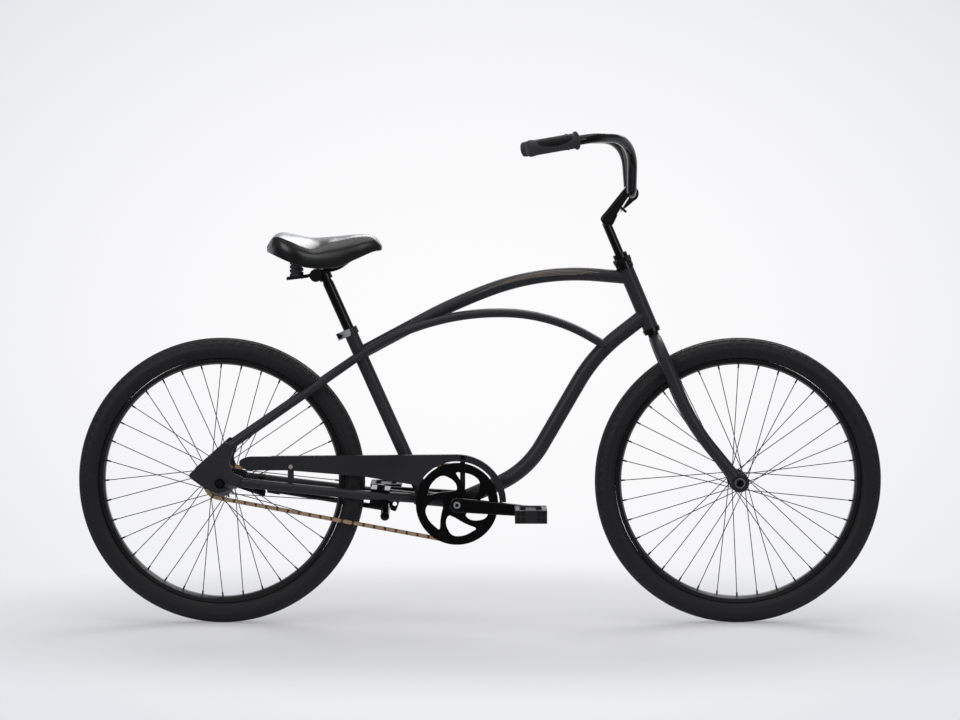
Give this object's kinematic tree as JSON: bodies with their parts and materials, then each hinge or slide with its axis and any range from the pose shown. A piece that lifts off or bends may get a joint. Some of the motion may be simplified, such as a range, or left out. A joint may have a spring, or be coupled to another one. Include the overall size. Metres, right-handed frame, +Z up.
{
  "type": "beach cruiser bicycle",
  "caption": "Single-speed beach cruiser bicycle with curved twin-stay frame, wide swept handlebar, padded saddle, balloon tyres, chain guard, coaster brake arm and kickstand",
  "frame": {"origin": "On the floor, midway along the overall length and in the frame's middle plane", "axes": "X points forward from the rear wheel to the front wheel, Y to the rider's left, Z up"},
  "size_m": [1.869, 0.7358, 1.142],
  "materials": {
    "frame_paint": "satin charcoal black paint",
    "guard_paint": "satin charcoal paint on pressed sheet",
    "gloss_black_paint": "gloss black paint",
    "rim_paint": "satin black paint on the rims",
    "dark_steel": "dark drawn wire",
    "bright_steel": "zinc-plated steel",
    "dark_sprocket": "blackened steel",
    "chain_steel": "bronze-brown roller chain",
    "tyre_rubber": "black tyre rubber",
    "tube_rubber": "inner tube rubber",
    "grip_rubber": "matte dark grey rubber",
    "saddle_vinyl": "semi-gloss black vinyl over foam",
    "black_plastic": "black moulded plastic",
    "amber_reflector": "amber reflector"
  },
  "bodies": {
    "frame": {"head_tube": "frame_paint", "seat_tube": "frame_paint", "bottom_bracket_shell": "frame_paint", "top_tube": "frame_paint", "down_tube": "frame_paint", "rear_dropouts": "frame_paint", "left_twin_stay": "frame_paint", "right_twin_stay": "frame_paint", "left_chainstay": "frame_paint", "right_chainstay": "frame_paint", "bearing_cups": "gloss_black_paint", "seat_clamp": "gloss_black_paint", "chain_guard": "guard_paint", "guard_bracket": "guard_paint", "brake_arm": "gloss_black_paint", "brake_arm_strap": "bright_steel", "rear_axle": "bright_steel", "kickstand_bracket": "gloss_black_paint", "frame_fasteners": "bright_steel", "chain": "chain_steel"},
    "fork": {"steerer": "bright_steel", "left_fork_blade": "frame_paint", "right_fork_blade": "frame_paint", "headset_nuts": "gloss_black_paint", "front_axle": "bright_steel", "fork_fasteners": "bright_steel"},
    "front_wheel": {"front_hub": "gloss_black_paint", "front_spokes": "dark_steel", "front_rim": "rim_paint", "front_tyre": "tyre_rubber", "front_inner_tube": "tube_rubber"},
    "rear_wheel": {"rear_hub": "gloss_black_paint", "rear_spokes": "dark_steel", "rear_rim": "rim_paint", "rear_tyre": "tyre_rubber", "rear_inner_tube": "tube_rubber"},
    "crankset": {"bottom_bracket_spindle": "bright_steel", "right_crank_arm": "gloss_black_paint", "left_crank_arm": "gloss_black_paint", "chainring": "dark_sprocket", "chainring_spider": "gloss_black_paint", "crankset_bolts": "bright_steel", "pedal_axles": "bright_steel"},
    "sprocket": {"rear_sprocket": "dark_sprocket"},
    "right_pedal": {"right_pedal": "black_plastic", "right_pedal_reflectors": "amber_reflector"},
    "left_pedal": {"left_pedal": "black_plastic", "left_pedal_reflectors": "amber_reflector"},
    "seatpost": {"seatpost": "gloss_black_paint", "saddle_clamp": "gloss_black_paint"},
    "saddle": {"saddle_pad": "saddle_vinyl", "saddle_base": "black_plastic", "saddle_rails": "bright_steel", "saddle_bumpers": "grip_rubber"},
    "stem": {"stem": "gloss_black_paint", "stem_bolts": "bright_steel"},
    "handlebar": {"handlebar": "gloss_black_paint", "right_grip": "grip_rubber", "left_grip": "grip_rubber"},
    "kickstand": {"kickstand_leg": "gloss_black_paint"}
  },
  "joints": [
    {"name": "fork_steer", "type": "hinge", "parent": "frame", "child": "fork", "pos_m": [0.55553, 0, 0.3142], "axis": [-0.3907, 0, 0.9205], "range_deg": [-120, 120]},
    {"name": "front_wheel_spin", "type": "hinge", "parent": "fork", "child": "front_wheel", "pos_m": [0.601, 0, 0.3335], "axis": [0, 1, 0], "continuous": true},
    {"name": "rear_wheel_spin", "type": "hinge", "parent": "frame", "child": "rear_wheel", "pos_m": [-0.601, 0, 0.3335], "axis": [0, 1, 0], "continuous": true},
    {"name": "crank_spin", "type": "hinge", "parent": "frame", "child": "crankset", "pos_m": [-0.05321, 0, 0.285], "axis": [0, 1, 0], "continuous": true, "deforming": ["chain"]},
    {"name": "sprocket_spin", "type": "hinge", "parent": "frame", "child": "sprocket", "pos_m": [-0.601, 0, 0.3335], "axis": [0, 1, 0], "continuous": true},
    {"name": "right_pedal_spin", "type": "hinge", "parent": "crankset", "child": "right_pedal", "pos_m": [0.11615, 0, 0.27018], "axis": [0, 1, 0], "continuous": true},
    {"name": "left_pedal_spin", "type": "hinge", "parent": "crankset", "child": "left_pedal", "pos_m": [-0.22256, 0, 0.29982], "axis": [0, 1, 0], "continuous": true},
    {"name": "seatpost_height", "type": "slide", "parent": "frame", "child": "seatpost", "axis": [-0.4067, 0, 0.9135], "range_m": [-0.09, 0.05]},
    {"name": "saddle_tilt", "type": "hinge", "parent": "seatpost", "child": "saddle", "pos_m": [-0.37905, 0, 0.8126], "axis": [0, 1, 0], "range_deg": [-15, 15]},
    {"name": "stem_height", "type": "slide", "parent": "fork", "child": "stem", "axis": [-0.3907, 0, 0.9205], "range_m": [-0.04, 0.03]},
    {"name": "handlebar_tilt", "type": "hinge", "parent": "stem", "child": "handlebar", "pos_m": [0.34763, 0, 1.00168], "axis": [0, 1, 0], "range_deg": [-25, 25]},
    {"name": "kickstand_fold", "type": "hinge", "parent": "frame", "child": "kickstand", "pos_m": [-0.22182, 0.042, 0.26278], "axis": [0, -0.9659, -0.2588], "range_deg": [0, 80]}
  ],
  "couplings": [
    {"joint": "sprocket_spin", "follows": "crank_spin", "ratio": 2.4444}
  ]
}
